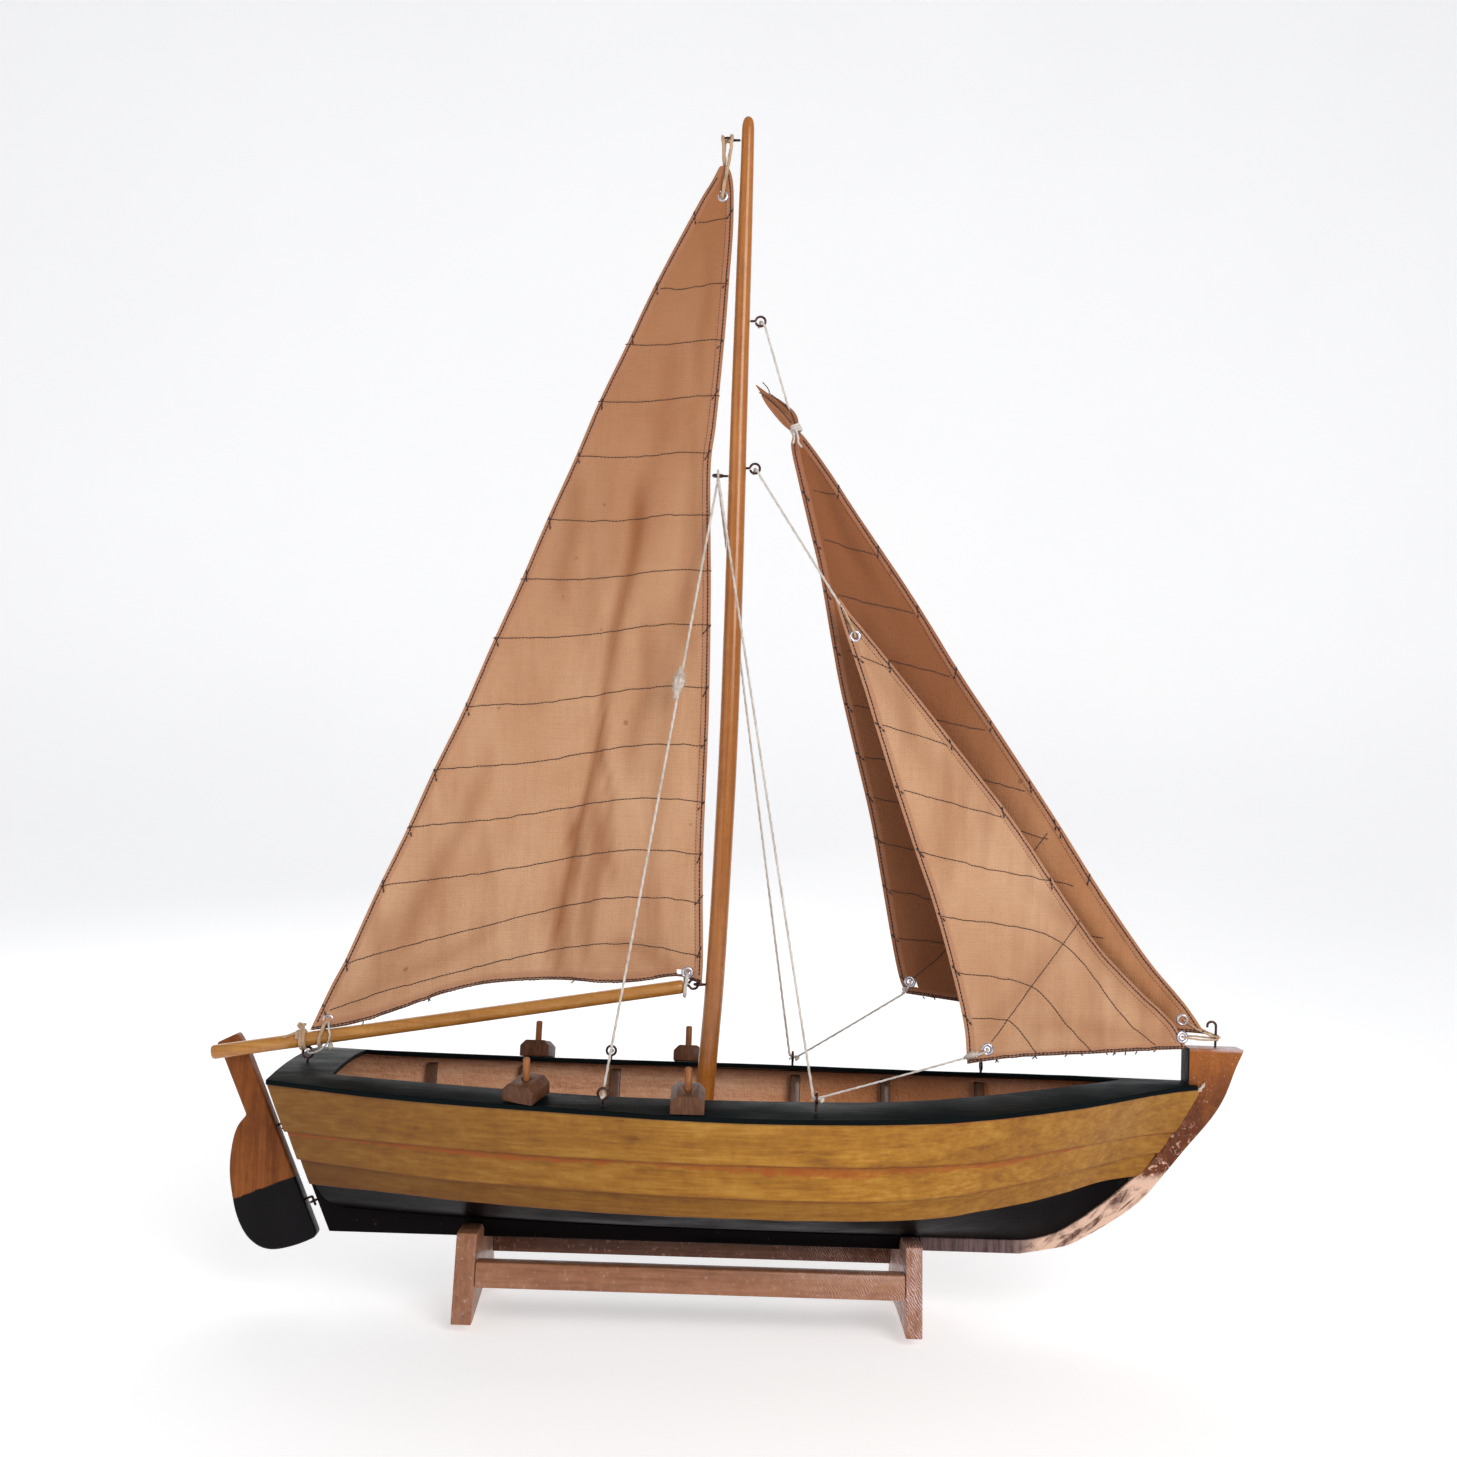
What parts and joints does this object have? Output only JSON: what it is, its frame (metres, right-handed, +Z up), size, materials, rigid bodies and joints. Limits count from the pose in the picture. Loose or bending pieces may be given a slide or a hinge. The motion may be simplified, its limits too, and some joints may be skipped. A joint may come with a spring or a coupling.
{
  "type": "model sailing ship",
  "caption": "Wooden display model of an open clinker-planked sailing boat with a mast, boom, mainsail, two headsails, rudder and stand.",
  "frame": {"origin": "middle of the floor area under the whole object, halfway along its length and on its centre plane", "axes": "+X towards the bow, +Y to port, +Z up"},
  "size_m": [0.4914, 0.1434, 0.58],
  "materials": {
    "stand_wood": "satin, sawn ends",
    "hull_varnish": "gloss varnish",
    "bottom_paint": "satin dark paint",
    "stem_wood": "glossy stain",
    "deck_paint": "satin dark paint",
    "inner_wood": "rough varnish",
    "rudder_wood": "satin stain over dark paint below",
    "spar_varnish": "gloss varnish",
    "block_wood": "matte",
    "sail_cloth": "matte cotton",
    "screw_eye_bronze": "dark bronzed",
    "twine": "matte"
  },
  "bodies": {
    "stand": {"stand_upright_aft": "stand_wood", "stand_upright_fore": "stand_wood", "stand_rail_starboard": "stand_wood", "stand_rail_port": "stand_wood"},
    "hull": {"keel": "bottom_paint", "bottom_planking": "bottom_paint", "stem": "stem_wood", "transom": "hull_varnish", "lower_strake_starboard": "hull_varnish", "lower_strake_port": "hull_varnish", "middle_strake_starboard": "hull_varnish", "middle_strake_port": "hull_varnish", "sheer_strake_starboard": "hull_varnish", "sheer_strake_port": "hull_varnish", "deck_ring": "deck_paint", "mast_step": "inner_wood", "rib_1": "inner_wood", "rib_2": "inner_wood", "rib_3": "inner_wood", "rib_4": "inner_wood", "rib_5": "inner_wood", "rib_6": "inner_wood", "rib_7": "inner_wood", "oarlock_block_aft_starboard": "block_wood", "oarlock_block_aft_port": "block_wood", "oarlock_block_fore_starboard": "block_wood", "oarlock_block_fore_port": "block_wood", "mast": "spar_varnish", "thole_pin_aft_starboard": "spar_varnish", "thole_pin_aft_port": "spar_varnish", "thole_pin_fore_starboard": "spar_varnish", "thole_pin_fore_port": "spar_varnish", "masthead_eye": "screw_eye_bronze", "shroud_eye_mast": "screw_eye_bronze", "jib_halyard_eye": "screw_eye_bronze", "staysail_halyard_eye": "screw_eye_bronze", "gooseneck_eye": "screw_eye_bronze", "shroud_eye_aft_starboard": "screw_eye_bronze", "shroud_eye_aft_port": "screw_eye_bronze", "shroud_eye_fore_starboard": "screw_eye_bronze", "shroud_eye_fore_port": "screw_eye_bronze", "spare_eye_fore_port": "screw_eye_bronze", "mainsheet_eye": "screw_eye_bronze", "tack_hook": "screw_eye_bronze", "gudgeon_upper": "screw_eye_bronze", "gudgeon_lower": "screw_eye_bronze", "jib": "sail_cloth", "staysail": "sail_cloth", "shroud_starboard": "twine", "shroud_port": "twine", "jib_halyard": "twine", "staysail_halyard": "twine", "jib_sheet": "twine", "staysail_sheet": "twine"},
    "rudder": {"rudder": "rudder_wood", "pintle_upper": "screw_eye_bronze", "pintle_lower": "screw_eye_bronze"},
    "boom": {"boom": "spar_varnish", "boom_eye": "screw_eye_bronze", "mainsail": "sail_cloth"}
  },
  "joints": [
    {"name": "boat_lift", "type": "slide", "parent": "stand", "child": "hull", "axis": [0, 0, 1], "range_m": [0, 0.05]},
    {"name": "rudder_swing", "type": "hinge", "parent": "hull", "child": "rudder", "pos_m": [-0.19666, 0, 0.04384], "axis": [-0.4012, 0, 0.916], "range_deg": [-18, 18]},
    {"name": "boom_swing", "type": "hinge", "parent": "hull", "child": "boom", "pos_m": [-0.0166, 0, 0.1524], "axis": [0, 0, 1], "range_deg": [-1, 2.5]}
  ]
}
